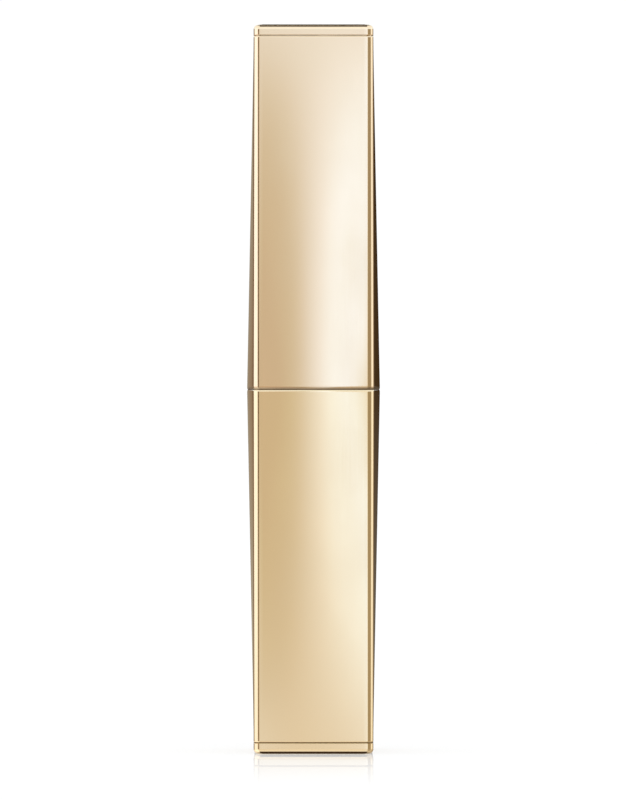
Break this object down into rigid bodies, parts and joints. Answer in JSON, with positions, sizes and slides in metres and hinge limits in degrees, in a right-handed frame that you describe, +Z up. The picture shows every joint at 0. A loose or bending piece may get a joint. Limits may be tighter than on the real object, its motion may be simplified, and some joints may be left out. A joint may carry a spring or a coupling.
{
  "type": "lipstick case",
  "caption": "Slim square lipstick case in champagne gold with bowed faces, a magnetic pull-off cap and a round tube that twists up a red bullet.",
  "frame": {"origin": "centre of the foot's underside, on the case's axis", "axes": "+Z up along the case's axis, towards the cap; X and Y square to the four faces"},
  "size_m": [0.0166, 0.0166, 0.0905],
  "materials": {
    "base_gold": "polished champagne gold anodising",
    "base_gold_plate": "polished champagne gold anodising",
    "cap_gold": "polished champagne gold anodising",
    "cap_gold_plate": "polished champagne gold anodising",
    "tube_gold": "bright polished gold anodising",
    "collar_gold": "satin gold moulding",
    "inner_plastic": "moulded, satin",
    "liner_plastic": "moulded, satin",
    "spiral_plastic": "moulded acetal",
    "guide_plastic": "moulded acetal",
    "carrier_plastic": "moulded acetal",
    "bullet_wax": "glossy pigmented wax, deep red",
    "ring_rubber": "silicone",
    "magnet_nickel": "nickel plated",
    "weight_steel": "turned, plain",
    "label_paper": "plain printed film, no lettering"
  },
  "bodies": {
    "base": {"base_shell": "base_gold", "base_end_plate": "base_gold_plate", "base_core": "inner_plastic", "base_collar": "collar_gold", "base_magnet_1": "magnet_nickel", "base_magnet_2": "magnet_nickel", "base_magnet_3": "magnet_nickel", "base_magnet_4": "magnet_nickel", "base_weight": "weight_steel", "shade_label": "label_paper", "spiral_sleeve": "spiral_plastic"},
    "tube": {"guide_sleeve": "guide_plastic", "friction_ring": "ring_rubber", "tube_sleeve": "tube_gold"},
    "bullet": {"bullet_carrier": "carrier_plastic", "lipstick_bullet": "bullet_wax"},
    "cap": {"cap_shell": "cap_gold", "cap_end_plate": "cap_gold_plate", "cap_liner": "liner_plastic", "cap_magnet_1": "magnet_nickel", "cap_magnet_2": "magnet_nickel", "cap_magnet_3": "magnet_nickel", "cap_magnet_4": "magnet_nickel"}
  },
  "joints": [
    {"name": "cap_pull", "type": "slide", "parent": "base", "child": "cap", "axis": [0, 0, 1], "range_m": [0, 0.055]},
    {"name": "tube_twist", "type": "hinge", "parent": "base", "child": "tube", "pos_m": [0, 0, 0.0452], "axis": [0, 0, 1], "range_deg": [0, 540]},
    {"name": "bullet_rise", "type": "slide", "parent": "tube", "child": "bullet", "axis": [0, 0, 1], "range_m": [0, 0.015]}
  ],
  "couplings": [
    {"joint": "tube_twist", "follows": "bullet_rise", "rad_per_m": 628.32}
  ]
}
